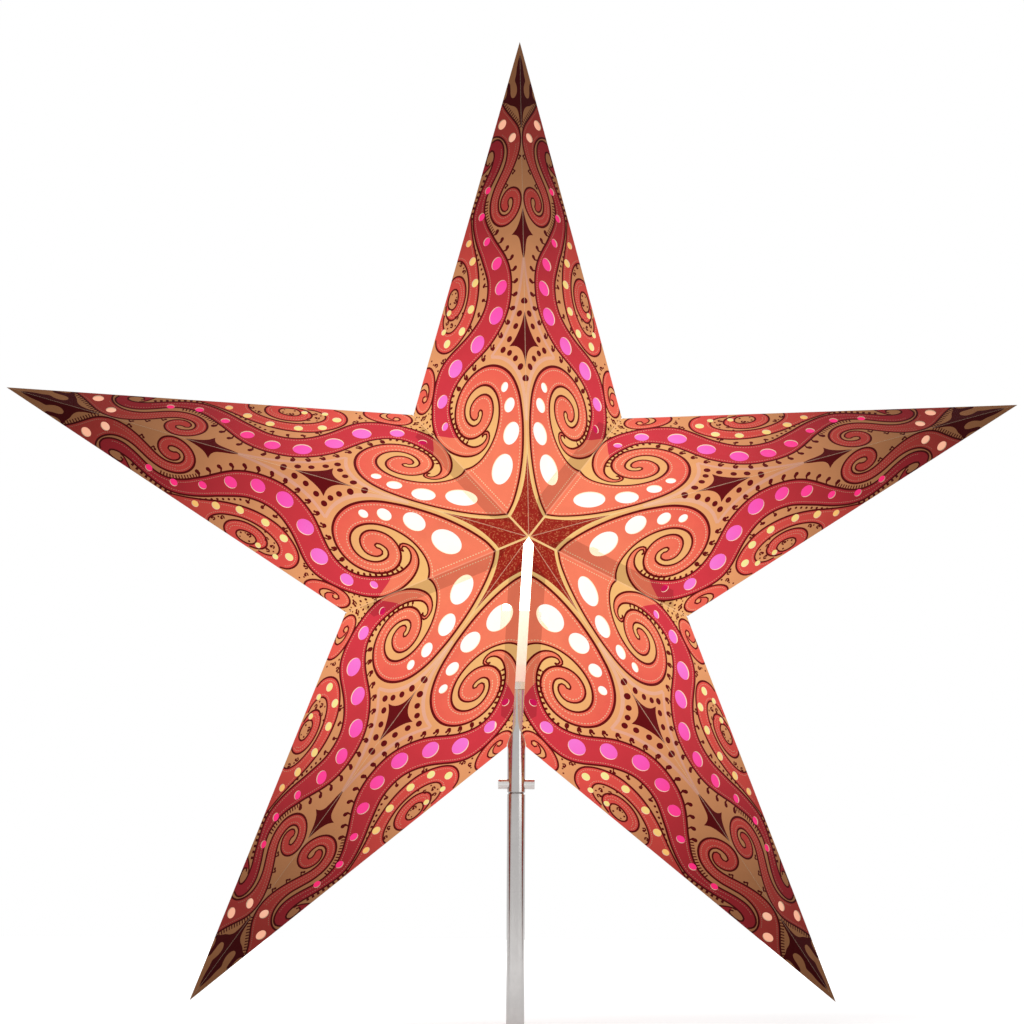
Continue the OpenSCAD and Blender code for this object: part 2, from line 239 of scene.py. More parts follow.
def marks_tree():
    """Repeats a mark along each line, at a spacing, turned to follow the line."""
    tree, given, result = geometry_tree("Marks along a line", [
        ("Spacing", "NodeSocketFloat", 3.0), ("Mark", "NodeSocketObject", None)])
    nodes, link = tree.nodes, tree.links.new
    curve = nodes.new("GeometryNodeMeshToCurve")
    spaced = nodes.new("GeometryNodeResampleCurve")
    spaced.mode = "LENGTH"
    mark = nodes.new("GeometryNodeObjectInfo")
    tangent = nodes.new("GeometryNodeInputTangent")
    turn = nodes.new("FunctionNodeAlignRotationToVector")
    turn.axis = "X"
    turn.pivot_axis = "Z"
    place = nodes.new("GeometryNodeInstanceOnPoints")
    real = nodes.new("GeometryNodeRealizeInstances")
    link(given.outputs["Geometry"], curve.inputs["Mesh"])
    link(curve.outputs["Curve"], spaced.inputs["Curve"])
    link(given.outputs["Spacing"], spaced.inputs["Length"])
    link(given.outputs["Mark"], mark.inputs["Object"])
    link(tangent.outputs["Tangent"], turn.inputs["Vector"])
    link(spaced.outputs["Curve"], place.inputs["Points"])
    link(mark.outputs["Geometry"], place.inputs["Instance"])
    link(turn.outputs["Rotation"], place.inputs["Rotation"])
    link(place.outputs["Instances"], real.inputs["Geometry"])
    link(real.outputs["Geometry"], result.inputs["Geometry"])
    return tree


PEN_TREE = pen_tree()
MARKS_TREE = marks_tree()


def lines_object(lines, widths=None):
    """One object with an edge between each two neighbouring vertices of each line."""
    verts, edges, pen = [], [], []
    for k, line in enumerate(lines):
        first = len(verts)
        verts += [(u, v, 0) for u, v in line]
        edges += [(first + i, first + i + 1) for i in range(len(line) - 1)]
        if widths:
            pen += list(widths[k])
    mesh = bpy.data.meshes.new("lines")
    mesh.from_pydata(verts, edges, [])
    if widths:
        mesh.attributes.new("pen_width", "FLOAT", "POINT").data.foreach_set("value", pen)
    ob = bpy.data.objects.new("lines", mesh)
    bpy.context.scene.collection.objects.link(ob)
    return ob


def outlines_from(ob, tree, values):
    """The flat faces that a tree makes from an object's lines, as outlines. The object is then removed."""
    modifier = ob.modifiers.new(tree.name, "NODES")
    modifier.node_group = tree
    for item in tree.interface.items_tree:
        if item.in_out == "INPUT" and item.name in values:
            modifier[item.identifier] = values[item.name]
    graph = bpy.context.evaluated_depsgraph_get()
    mesh = bpy.data.meshes.new_from_object(ob.evaluated_get(graph))
    at = np.array([v.co[:2] for v in mesh.vertices])
    outlines = [at[list(p.vertices)] for p in mesh.polygons]
    source = ob.data
    bpy.data.objects.remove(ob)
    bpy.data.meshes.remove(source)
    bpy.data.meshes.remove(mesh)
    return outlines


def pen(lines, nib=1.0):
    """Outlines of pen strokes. A line is (curve, width) or (curve, widths at start, middle and end)."""
    curves = [line[0] for line in lines]
    widths = []
    for line in lines:
        w = line[1] if isinstance(line[1], tuple) else (line[1],) * 3
        widths.append(np.interp(np.linspace(0, 1, len(line[0])), (0, 0.5, 1), w))
    return outlines_from(lines_object(curves, widths), PEN_TREE, {"Nib": nib})


def marks(lines, shape, spacing):
    """Outlines of one small mark of one or more faces, repeated along the lines."""
    verts = [(x, y, 0) for outline in shape for x, y in outline]
    starts = np.cumsum([0] + [len(outline) for outline in shape])
    mesh = bpy.data.meshes.new("mark")
    mesh.from_pydata(verts, [], [list(range(a, b)) for a, b in zip(starts, starts[1:])])
    mark = bpy.data.objects.new("mark", mesh)
    bpy.context.scene.collection.objects.link(mark)
    found = outlines_from(lines_object(lines), MARKS_TREE, {"Spacing": spacing, "Mark": mark})
    bpy.data.objects.remove(mark)
    bpy.data.meshes.remove(mesh)
    return found


# ---------------------------------------------------------------- flat drawing: the ornament

TAN, CORAL, CRIMSON, MAROON, GLITTER, GOLD, CREAM, PINK, LAP_FILM = range(9)

# The maroon outlines are this much broader than the widths that they are listed with
LINE_NIB = 1.25

# Petal: its outer line winds in to the middle of the spiral, and so does its inner line
PETAL_OUTER = smooth([
    (15.9, 17.6), (11.2, 23.2), (7.1, 32.7), (4.7, 41.9), (3.2, 51.9), (2.7, 61.9), (2.8, 69.6),
    (3.5, 77.3), (4.6, 85), (6.6, 91.9), (9.6, 98.5), (13.6, 104), (18.8, 108.5), (24.9, 111.6),
    (31.8, 112.8), (38.8, 111.5), (44.4, 108.5), (48.9, 104.2), (51.9, 98.8), (53.3, 92.7), (53, 86.5),
    (51.1, 81), (47.9, 76.5), (43.4, 73.2), (38, 71.8), (32.6, 72.7), (28, 75.8), (25.2, 80.4),
    (24.5, 86.3), (26.1, 91.9), (29.5, 95.3), (33.6, 96.4), (38, 95.3), (41.1, 92.5), (42, 88.5),
    (41, 84.8), (38.2, 82.6), (35.9, 83.6), (35.7, 86.3), (34.3, 87.7)])
PETAL_INNER = smooth([
    (47.2, 55.4), (41.1, 55), (35.2, 56.4), (30.3, 59.5), (25.9, 64), (22.6, 69.6), (20.6, 75.8),
    (19.9, 81.9), (20.4, 88.1), (22.6, 94.2), (26.5, 99.2), (31.6, 101.9), (36.7, 102), (41.2, 100.1),
    (44.5, 96.5), (46, 91.9), (45.4, 86.5), (42.8, 82), (38.9, 79.3), (35, 80), (33, 83.2), (32.7, 86),
    (34.3, 87.7)])
BAND_INNER = smooth([
    (33, 70.4), (31.6, 71.6), (29.8, 71.2), (29.4, 69.3), (31, 67.2), (34.2, 66), (38.8, 66.4),
    (43.4, 68.8), (48, 72.7), (51.8, 77.8), (54.5, 83.5), (56.6, 89.8), (57.6, 96), (56.9, 101.5),
    (54.3, 106.9), (50.4, 111.2), (45.4, 114.9), (39.5, 118), (33.4, 120.8), (27.4, 124), (21.6, 128.6),
    (16.4, 134.2), (12.7, 140.4), (10.6, 146.8), (9.7, 152.9), (9.5, 159), (10.2, 165.5), (11.9, 171.9),
    (14.6, 178), (18, 184.1), (21.3, 189.8), (24.3, 195.8), (27, 201.5), (28.8, 207.3), (29.4, 212.5),
    (28.6, 217.8), (26.5, 222.7), (23.3, 227.3), (19.6, 231.9), (16.5, 236.5), (14.3, 241.2),
    (13.7, 245.8), (14.5, 250.3), (16.5, 253.7), (19.6, 255.5), (23, 255)])
BAND_OUTER = smooth([
    (33, 70.4), (32.9, 72), (31.2, 73), (28.9, 72.6), (27.6, 70.4), (28, 66.6), (30.4, 63.6), (34.9, 61.6),
    (40.3, 61.6), (47, 63.6), (53.4, 67.1), (58.9, 71.3), (63.5, 76.1), (67.2, 81), (69.6, 86.5),
    (71, 92.5), (71.3, 98.8), (71, 105.3), (69.8, 112), (68, 117.8), (65.5, 122.8), (61.8, 126.9),
    (56.6, 130.3), (50.4, 133.2), (44.2, 136.2), (38.9, 139.6), (34.2, 143.6), (30.6, 148.2),
    (28.4, 153.5), (27.4, 159.6), (27.5, 165.5), (28.8, 171.3), (30.6, 177.2), (32.3, 182.7),
    (34.3, 188.3), (36.1, 194.2), (37.5, 200.4), (38.3, 206.5), (38, 212.7), (36.1, 218.3),
    (33.3, 223.6), (30.2, 228.8), (27.2, 233.2), (24.2, 237.4), (22.1, 242), (21.2, 246.3),
    (22.4, 249.6), (25, 249.3), (27.2, 246), (27.9, 242.6), (26.6, 241), (24.7, 242.4)])
BAND_CURL = smooth([(22.6, 242.4), (24, 240.4), (27.2, 238.4), (31.5, 236.6)])
SCROLL_OUTER = smooth([
    (39.9, 214.5), (39.8, 209.6), (39.2, 201.9), (38, 194.2), (36.5, 186.5), (35.2, 179.8), (34.5, 172.7),
    (34.4, 165.8), (35.1, 159.4), (36.6, 153.3), (38.9, 147.5), (42, 142.6), (46.5, 138.1), (51.8, 134.5),
    (57.2, 132.6), (61.9, 133.2), (65.8, 135.8), (68.1, 139.6), (68.4, 144.2)])
SCROLL_MIDDLE = smooth([
    (53, 188), (50.6, 188.4), (47.8, 187.1), (45.3, 184), (43.5, 179.6), (42.5, 174.2), (42.2, 168.1),
    (43, 161.9), (45, 155.8), (48.1, 150.3), (51.9, 146.3), (56.1, 144.4), (59.7, 145.4), (61.9, 148.8),
    (62.4, 153.2), (61.4, 157.4)])
SCROLL_RING = smooth([
    (57, 176.2), (54.4, 178.2), (50.9, 178.5), (47.3, 176.3), (45.1, 171.9), (44.5, 166.4), (45.7, 160.4),
    (48.2, 155.6), (51.8, 152.6), (55.8, 152), (58.8, 154.2), (60.2, 158.1), (60.1, 163)])
SCROLL_EYE = smooth([
    (54, 171.2), (51.4, 170), (50.5, 166.6), (51, 162.7), (52.4, 159.9), (54.9, 158.6), (57.3, 159.8),
    (58.6, 162.7), (58.2, 166.3), (56.5, 169.7)], closed=True)
COIL_IN = smooth([
    (0.7, 249.4), (0.8, 245.4), (1.8, 240.8), (4, 235.6), (7.3, 230.3), (10.8, 225.8), (14.2, 221.7),
    (16.8, 217.9), (18.3, 214.2), (18.6, 210.9), (18, 207), (16, 204), (13, 202.7), (9.9, 203.5),
    (8, 206.2), (7.3, 209.4), (8, 212), (9.6, 212.7), (10.9, 211.5), (11.2, 209.3)])
COIL_OUT = smooth([
    (11.2, 209.3), (10.7, 207.1), (11.7, 205.5), (13.4, 205.2), (15.5, 206.7), (16.8, 209.7),
    (16.6, 213.2), (14.4, 216.8), (11.1, 218.8), (7.2, 218.5), (3.5, 215.9), (1.5, 211.9), (1.1, 207.7),
    (2.6, 202.7), (6.6, 198.1), (11.8, 196.1), (17.2, 197.2), (21.7, 201), (24.4, 206.4), (25, 211.9),
    (24.1, 217.5), (21.3, 223.7), (17.4, 229.2), (14, 234), (11.9, 238.8), (11.1, 244), (11.8, 248.8),
    (14.1, 253.3), (17.3, 256.5), (21, 258), (25, 257.7)])
TIP_BORDER = smooth([
    (14.6, 278.2), (11.6, 272), (8.7, 267.3), (5.6, 262.5), (3, 258), (1.4, 253.6), (0.7, 249.4)])
NOTCH_COMMA = smooth([
    (77.5, 128.7), (75.3, 129), (72.8, 128), (70.6, 125), (69.3, 119.8), (69.7, 113.5), (71.2, 107.2),
    (73.8, 102.8), (77.8, 101), (81.6, 102.5), (83.9, 106.3), (84, 110.6), (82.4, 114)])
NOTCH_INNER = smooth([
    (80.6, 117.3), (78, 119.6), (75.4, 119.2), (73.9, 116), (74.1, 111.6), (75.6, 108.4), (77.6, 107.6),
    (79, 109.4), (78.3, 111.5), (76.5, 111.6)])
NOTCH_CURL = smooth([(81.4, 115.4), (78.6, 116.6), (76.4, 115.4), (75.4, 112.6), (75.5, 110.6)])
STAR_EDGE = smooth([
    (0, 60), (0.6, 52), (1.7, 43.5), (3.5, 34.5), (5.9, 27.5), (9.6, 21.4), (13.4, 17.1), (15.2, 16.8)])
LARGE_DIAMOND = [
    smooth([(0, 136), (0.8, 133.2), (2.6, 128.8), (5.4, 124.2), (8.4, 120.7), (11.8, 118.5)]),
    smooth([(11.8, 118.5), (7.4, 117), (4, 114.2), (1.8, 110.4), (0.6, 106), (0, 101)])]
SMALL_DIAMOND = [
    smooth([(0, 202), (1.2, 198.3), (3, 193.7), (5.6, 190), (8.8, 188.1)]),
    smooth([(8.8, 188.1), (5.6, 186.6), (3.4, 184), (2.2, 179.6), (1.4, 174.2), (0, 168.5)])]
# Dots round the large diamond, as (u, v, width, length)
DIAMOND_DOTS = [
    (0.2, 94.6, 5, 3.8), (3.8, 102.9, 4.4, 4), (7.4, 109.4, 3.9, 3.6), (11.7, 114.4, 3.9, 3.5),
    (16.5, 118.1, 4.1, 3.8), (11.6, 122.9, 3.9, 3.7), (6.8, 129.2, 3.9, 3.6), (3.9, 136, 4.3, 3.8),
    (0.3, 142.7, 5, 3.6)]
TIP_SPEAR = smooth([
    (0, 304.5), (1.2, 302), (2.5, 297.3), (3.3, 292.4), (4.3, 288.6), (3.5, 286.2), (2.8, 282.7),
    (3.2, 279.4), (4.9, 277.5), (6.8, 278.1), (7.7, 280.6), (7.8, 284.3), (8.3, 288.6), (9.9, 289.8),
    (10.4, 286.5), (10.8, 282.3), (12.2, 280), (14.6, 279.4)], 1.2)
TIP_SPEAR_FOOT = smooth([
    (14, 278.2), (11.3, 276.6), (8.3, 273.7), (5.2, 271.6), (3.1, 269), (1.8, 265), (1.1, 259.5),
    (0, 255)], 1.2)
PALE_BANDS = [
    smooth([(0.4, 69), (1, 81), (2.6, 92), (6, 101), (11, 108), (17.6, 113.6), (25.5, 117.2)]),
    smooth([(0.3, 170), (1.6, 160), (3.6, 150.5), (6.8, 141), (11.4, 132), (17, 124.6), (25.5, 117.2)])]
# Single small marks as (u, v, radius), and hooks as (u, v, turn)
SCROLL_MARKS = [
    (46, 182, 0.6), (47.2, 153.2, 0.7), (53, 147.6, 0.6), (59, 148.1, 0.6), (52.4, 168.2, 0.7),
    (55.2, 168.6, 0.5), (51.8, 165.4, 0.5), (56.8, 163, 0.7)]
TAN_MARKS = [
    (71.6, 132, 0.6), (70.2, 129.2, 0.6), (61, 129.2, 0.7), (66.7, 124, 0.7), (62.4, 126.6, 0.6),
    (72.4, 95.6, 0.6), (73, 91.6, 0.9), (70.8, 87.6, 0.6), (76.2, 99, 0.7), (79.6, 97.8, 0.8),
    (83.5, 100.8, 0.6), (85.6, 104.2, 0.5), (74, 99.6, 0.5), (81.6, 100.2, 0.5), (69.4, 84.8, 0.5), (74.8, 90.8, 0.5),
    (75.3, 94.7, 0.8), (77.9, 94.8, 0.5), (72.2, 98.6, 0.6), (71.9, 101.9, 0.5)]
VALLEY_LINE = np.array([(0, 0), (15, 18)])
FILM_END = [(20, 72), (50, 76), (57.5, 78.8), (71.5, 85.5), (90, 70), (57, 38), (20, 54)]
TAN_HOOKS = [(64.2, 127.8, 0.9), (67.6, 126.8, -0.6), (45.3, 178.4, -0.6), (56.3, 147.6, 0.2),
             (48.9, 184.4, 0.5),
             (51, 151.4, -0.9), (60.3, 151.4, 1.2), (53.6, 162.2, 0.6), (71.6, 85.9, 0.9), (77.4, 97.2, -0.6)]


def turned(shape, u, v, angle=0.0, size=1.0):
    """A small shape, turned and placed on the panel."""
    c, s = math.cos(angle), math.sin(angle)
    p = size * np.array(shape, float)
    return np.stack([u + c * p[:, 0] - s * p[:, 1], v + s * p[:, 0] + c * p[:, 1]], 1)


def stroke(points, width):
    """A short brush stroke of even width through the points."""
    curve = smooth(points, 0.6)
    return np.vstack([beside(curve, width / 2), beside(curve, -width / 2)[::-1]])


def hook(reach, head=2.1):
    """A round head, and a tail that dips and runs back to the line it grows from."""
    tail = [(-0.3, reach), (-1, reach - 0.6), (-1.1, reach - 1.2), (-0.5, reach - 2), (0.4, 0.5), (0.7, 0)]
    return [oval(0, reach, head, head, 10), stroke(tail, 0.95)]


def pin_mark(reach, head=2.3):
    """A round head on a short straight stalk."""
    return [oval(-0.5, reach, head, head * 0.9, 10), stroke([(-0.4, reach), (0.1, reach / 2), (0.3, 0)], 0.8)]


def ornament():
    """All the shapes of one panel from the lowest to the topmost, as (ink, outline)."""
    shapes = []

    def lay(ink, *outlines):
        shapes.extend((ink, o) for o in outlines)

    def joined(*stretches):
        return np.vstack(stretches)

    lay(GLITTER, joined(STAR_EDGE, [(17.5, 16.5), (20, 9), (-1, -4), (-1, 60)]))
    lay(CORAL, joined(PETAL_OUTER, PETAL_INNER[::-1], [(52, 56), (27, 27)]))
    lay(CRIMSON, joined(BAND_INNER, [(33, 256), (37, 236)], BAND_CURL[::-1][:-1], BAND_OUTER[-2::-1]))
    lay(CORAL, joined(SCROLL_OUTER, [(93, 150), (95, 197), (54, 219)]))
    lay(TAN, joined(SCROLL_MIDDLE, [(72, 170), (62, 186)]))
    lay(CORAL, joined(SCROLL_RING, [(68, 170), (64, 179)]))
    lay(TAN, SCROLL_EYE)
    lay(CORAL, joined(COIL_IN, COIL_OUT[1:], [(32, 260), (23, 284)], TIP_BORDER[:-1]))
    lay(CORAL, joined(NOTCH_COMMA, [(89, 112), (85, 124)]))
    lay(TAN, joined(NOTCH_INNER[:6], NOTCH_CURL[::-1]))
    lay(TAN, oval(77.1, 109.8, 2.2, 2.6, 12))
    lay(MAROON, joined(LARGE_DIAMOND[0], LARGE_DIAMOND[1][1:], [(-2, 101), (-2, 136)]))
    lay(MAROON, joined(SMALL_DIAMOND[0], SMALL_DIAMOND[1][1:], [(-2, 168.5), (-2, 202)]))
    lay(MAROON, joined([(-2, 304.5)], TIP_SPEAR, TIP_SPEAR_FOOT, [(-2, 255)]))
    lay(PINK, *pen([(c, (1.4, 2.6, 1.8)) for c in PALE_BANDS]))
    lay(GOLD, *pen([
        (beside(STAR_EDGE, -0.3), (0.8, 1.7, 1.5)),
        (VALLEY_LINE, 1.3)]))
    lay(MAROON, *pen([
        (PETAL_OUTER, (1.3, 1.2, 0.9)),
        (PETAL_INNER, (0.9, 1.1, 0.9)),
        (BAND_INNER, (0.9, 1.1, 0.9)),
        (BAND_OUTER, (0.9, 1.1, 0.9)),
        (BAND_CURL, 0.8),
        (SCROLL_OUTER, (0.8, 1.1, 0.9)),
        (SCROLL_MIDDLE, (0.8, 1, 0.8)),
        (SCROLL_RING, 0.95),
        (joined(SCROLL_EYE, SCROLL_EYE[:1]), 0.9),
        (COIL_IN, (0.9, 1, 0.8)),
        (COIL_OUT, (0.8, 1.1, 0.9)),
        (TIP_BORDER, 0.9),
        (NOTCH_COMMA, 0.95),
        (NOTCH_INNER, 0.85),
        (NOTCH_CURL, 0.7)], LINE_NIB))
    dash = [oval(0, 0, 1.3, 0.72, 6)]
    fine_dash = [oval(0, 0, 0.95, 0.45, 6)]
    lay(CREAM, *marks([
        part_of(beside(PETAL_OUTER, -2.2), 0.015, 0.93),
        part_of(beside(PETAL_INNER, 2.0), 0.04, 0.86),
        np.array([(15.9, 22.7), (41.2, 53.2)])], dash, 1.9))
    lay(CREAM, *marks([
        part_of(beside(BAND_INNER, -1.9), 0.09, 0.94),
        part_of(beside(BAND_OUTER, 1.9), 0.07, 0.89),
        part_of(beside(SCROLL_OUTER, 1.9), 0.1, 0.97),
        part_of(beside(SCROLL_MIDDLE, -1.7), 0.02, 0.95),
        part_of(beside(SCROLL_RING, 1.8), 0.08, 0.92),
        part_of(beside(SCROLL_RING, 3.6), 0.12, 0.85),
        part_of(beside(COIL_IN, 1.7), 0.05, 0.9),
        part_of(beside(COIL_OUT, 1.7), 0.1, 0.93),
        part_of(beside(COIL_IN, 3.6), 0.05, 0.62),
        part_of(beside(TIP_BORDER, 1.6), 0.1, 0.95),
        part_of(beside(NOTCH_COMMA, 1.7), 0.12, 0.9)], fine_dash, 1.5))
    lay(MAROON, *[oval(u, v, w, l, 14, 0.5) for u, v, w, l in DIAMOND_DOTS])
    speck = [oval(0, 0, 1.7, 1.7, 8)]
    fine_speck = [oval(0, 0, 1.1, 1.1, 7)]
    peg = [[(-0.8, -1.1), (0.8, -1.1), (0.75, 0.6), (0, 1.1), (-0.75, 0.6)]]
    rung = [[(-0.42, -1.1), (0.42, -1.1), (0.42, 1.1), (-0.42, 1.1)]]
    lay(MAROON, *marks([part_of(BAND_INNER, 0.268, 0.7)], hook(3.8, 2.8), 7.55))
    lay(MAROON, *marks([part_of(beside(BAND_INNER, 2.5), 0.275, 0.7)], speck, 7.7))
    lay(MAROON, *marks([part_of(beside(BAND_INNER, 1.3), 0.1, 0.25)], peg, 3.3))
    lay(MAROON, *marks([part_of(beside(BAND_INNER, 2.9), 0.1, 0.16)], fine_speck, 3.0))
    lay(MAROON, *marks([part_of(BAND_OUTER, 0.5, 0.6)[::-1]], pin_mark(3.2), 7.9))
    lay(MAROON, *marks([part_of(beside(BAND_OUTER, -2.4), 0.49, 0.61)], speck, 7.9))
    lay(MAROON, *marks([part_of(beside(BAND_OUTER, -2), 0.625, 0.72)], speck, 3.3))
    lay(MAROON, *marks([part_of(beside(BAND_INNER, 1.6), 0.7, 0.81)], rung, 1.9))
    lay(MAROON, *marks([part_of(COIL_IN, 0.16, 0.4)[::-1]], pin_mark(2.3, 1.7), 6.6))
    lay(MAROON, *marks([part_of(beside(COIL_IN, -1.7), 0.19, 0.42)], speck, 6.6))
    lay(MAROON, *marks([part_of(beside(TIP_BORDER, -1.5), 0.08, 0.8)], rung, 1.9))
    lay(MAROON, *marks([part_of(beside(BAND_OUTER, -1.3), 0.79, 0.88)], peg, 3.0))
    for u, v, r in SCROLL_MARKS + TAN_MARKS:
        lay(MAROON, oval(u, v, 2 * r, 2 * r, 8))
    for u, v, angle in TAN_HOOKS:
        for piece in hook(2, 1.8):
            lay(MAROON, turned(piece, u, v, angle))
    return shapes


# ---------------------------------------------------------------- flat drawing: one layer of print


def strip(start, end, near, width):
    """A strip along the valley whose ends are cut at 45 degrees, as the glue flap's are."""
    def at(s, d):
        return s * VALLEY_DIR + d * VALLEY_IN
    return np.array([at(start, near), at(end, near), at(end - width, near + width),
                     at(start + width, near + width)])


def passage_outline():
    """Where the hole for the stem cuts the plane of a panel."""
    second = np.cross(NOTCH_DIR, [0, 1, 0])
    ring = []
    for a in np.linspace(0, 2 * math.pi, 48, endpoint=False):
        rim = PASSAGE_R * (math.cos(a) * np.array([0, 1, 0]) + math.sin(a) * second)
        t = (APEX - rim) @ OUTWARD / (NOTCH_DIR @ OUTWARD)
        p = rim + t * NOTCH_DIR - APEX
        ring.append((p @ ACROSS, p @ ALONG))
    return np.array(ring)


def anticlockwise(outline):
    u, v = outline[:, 0], outline[:, 1]
    area = (u * np.roll(v, -1) - np.roll(u, -1) * v).sum() / 2
    return outline if area > 0 else outline[::-1]


def beside_valley(width):
    """A strip of the panel along its whole valley, run out past both ends."""
    corners = [(-4, -2), (VALLEY + 6, -2), (VALLEY + 6, width), (-2, width)]
    return np.array([s * VALLEY_DIR + d * VALLEY_IN for s, d in corners])


def past_valley(width):
    """Where a counter side's card runs on past the valley, under its neighbour."""
    corners = [(0.4, 0), (0.4, -width), (VALLEY - 0.4, -width), (VALLEY - 0.4, 0)]
    return np.array([s * VALLEY_DIR + d * VALLEY_IN for s, d in corners])


def cut_into_one_layer():
    """Cuts all the shapes along each other's outlines, so that each small face has one ink."""
    seam = SEAM_GAP / 2 / VALLEY_TILT
    panel = np.array([(0, 0), (NOTCH_U, NOTCH_V), (0, RIDGE)])
    windows = list(window_outlines())
    regions = {
        "panel": [panel], "window": windows, "lap_window": [windows[FIRST_BAND_WINDOW]],
        "under": [beside_valley(UNDER_LAP)], "seam": [beside_valley(seam)], "past": [past_valley(UNDER_LAP)],
        "passage": [passage_outline()], "film_end": [np.array(FILM_END, float)],
        "flap": [strip(FLAP_FROM_APEX, VALLEY - FLAP_FROM_NOTCH, 0, FLAP_W)],
        "hem": [strip(FLAP_FROM_APEX, VALLEY - FLAP_FROM_NOTCH, seam, HEM_W)]}
    shapes = [(TAN, np.array([(-3, -6), (95, 100), (95, 110), (3, 325), (-3, 325)]))] + ornament()
    outlines = [o for _, o in shapes]
    labels = [None] * len(shapes)
    for name, group in regions.items():
        outlines += group
        labels += [name] * len(group)
    verts, faces = [], []
    for outline in outlines:
        first = len(verts)
        verts += [Vector(p) for p in anticlockwise(np.array(outline, float))]
        faces.append(list(range(first, len(verts))))
    out = geometry.delaunay_2d_cdt(verts, [], faces, 0, 1e-3, True)
    flat = np.array([tuple(v) for v in out[0]])
    tris = np.array(out[2])
    inks = np.zeros(len(tris), int)
    within = {name: np.zeros(len(tris), bool) for name in regions}
    for t, ids in enumerate(out[5]):
        drawn = [i for i in ids if labels[i] is None]
        inks[t] = shapes[max(drawn)][0] if drawn else TAN
        for i in ids:
            if labels[i]:
                within[labels[i]][t] = True
    inks[(inks == CRIMSON) & within["film_end"]] = CORAL
    inks[within["lap_window"]] = LAP_FILM
    sheet = (within["panel"] & ~within["window"]) | within["past"] | within["lap_window"]
    a, b, c = (flat[tris[:, k]] for k in range(3))
    area = ((b - a)[:, 0] * (c - a)[:, 1] - (b - a)[:, 1] * (c - a)[:, 0]) / 2
    keep = sheet & (area > 1e-6)
    return flat, tris[keep], inks[keep], {name: w[keep] for name, w in within.items()}


# ---------------------------------------------------------------- folding the print on to the star


def fold(flat, side, back, turn, lift=PRINT_LIFT):
    """Puts flat print on one panel of a point, or at another height off its card, in metres."""
    p = APEX + flat[:, :1] * ACROSS + flat[:, 1:2] * ALONG + lift * OUTWARD
    p *= [-1 if side else 1, -1 if back else 1, 1]
    c, s = math.cos(turn), math.sin(turn)
    x, y, z = p.T
    return np.stack([c * x + s * z, y, c * z - s * x + STAR_Z], 1) * MM


# A piece's own map has a cell for each of its four panels, side by side, in millimetres of card
CELL_W, CELL_H = 88.0, 340.0
CELL_EDGE_U, CELL_EDGE_V = 0.88, 13.6


def bake_place(flat, k):
    """Where print on panel k of a point lies in the piece's own map."""
    return np.stack([(k * CELL_W + CELL_EDGE_U + flat[:, 0]) / (4 * CELL_W),
                     (CELL_EDGE_V + flat[:, 1]) / CELL_H], 1)


# How far the wrap stands off the cut edge, and the film in a window off the back of the card
WRAP_LIFT = 0.03
LAP_FILM_LIFT = 0.1


def cut_edge(flat, tris, inks):
    """The stretches of a clockwise side's cut edge between its print's triangles, and their inks."""
    on_cut = np.abs(flat @ VALLEY_IN - UNDER_LAP) < SAME_PLACE
    ends, found = [], []
    for k in range(3):
        a, b = tris[:, k], tris[:, (k + 1) % 3]
        both = on_cut[a] & on_cut[b]
        ends.append(np.stack([a[both], b[both]], 1))
        found.append(inks[both])
    return np.vstack(ends), np.concatenate(found)


def panel_print(layer, side, seam):
    """One panel's print: flat places, heights off the card, triangles, their inks, and card behind."""
    flat, tris, inks, within = layer
    lap = within["lap_window"]
    keep = ~lap & ~within["past"]
    if seam:
        keep &= ~within["seam"] & ~within["passage"]
    elif not side:
        keep &= ~within["under"]
    else:
        keep |= within["past"]
    behind = within["hem"] if seam else within["flap"] if not side else np.zeros(len(tris), bool)
    at = [flat]
    height = [np.full(len(flat), PRINT_LIFT)]
    faces, face_inks, layers = [tris[keep]], [inks[keep]], [behind[keep]]
    if seam or not side:
        # The film that shows in the window over the flap or the hem
        at.append(flat)
        height.append(np.full(len(flat), LAP_FILM_LIFT - CARD_T))
        faces.append(tris[lap] + len(flat))
        face_inks.append(inks[lap])
        layers.append(behind[lap])
    if not side and not seam:
        ends, wrap_inks = cut_edge(flat, tris[keep], inks[keep])
        first = sum(len(a) for a in at)
        n = len(ends)
        top = flat[ends] - WRAP_LIFT * VALLEY_IN
        low = flat[ends] + (CUT_LEAN - WRAP_LIFT) * VALLEY_IN
        at.append(np.vstack([top[:, 0], top[:, 1], low[:, 0], low[:, 1]]))
        height.append(np.repeat([PRINT_LIFT, -CARD_T], 2 * n))
        a, b, c, d = (first + k * n + np.arange(n) for k in range(4))
        faces += [np.stack([b, a, c], 1), np.stack([b, c, d], 1)]
        face_inks += [wrap_inks] * 2
        layers += [np.zeros(n, bool)] * 2
    return (np.vstack(at), np.concatenate(height), np.vstack(faces), np.concatenate(face_inks),
            np.concatenate(layers))


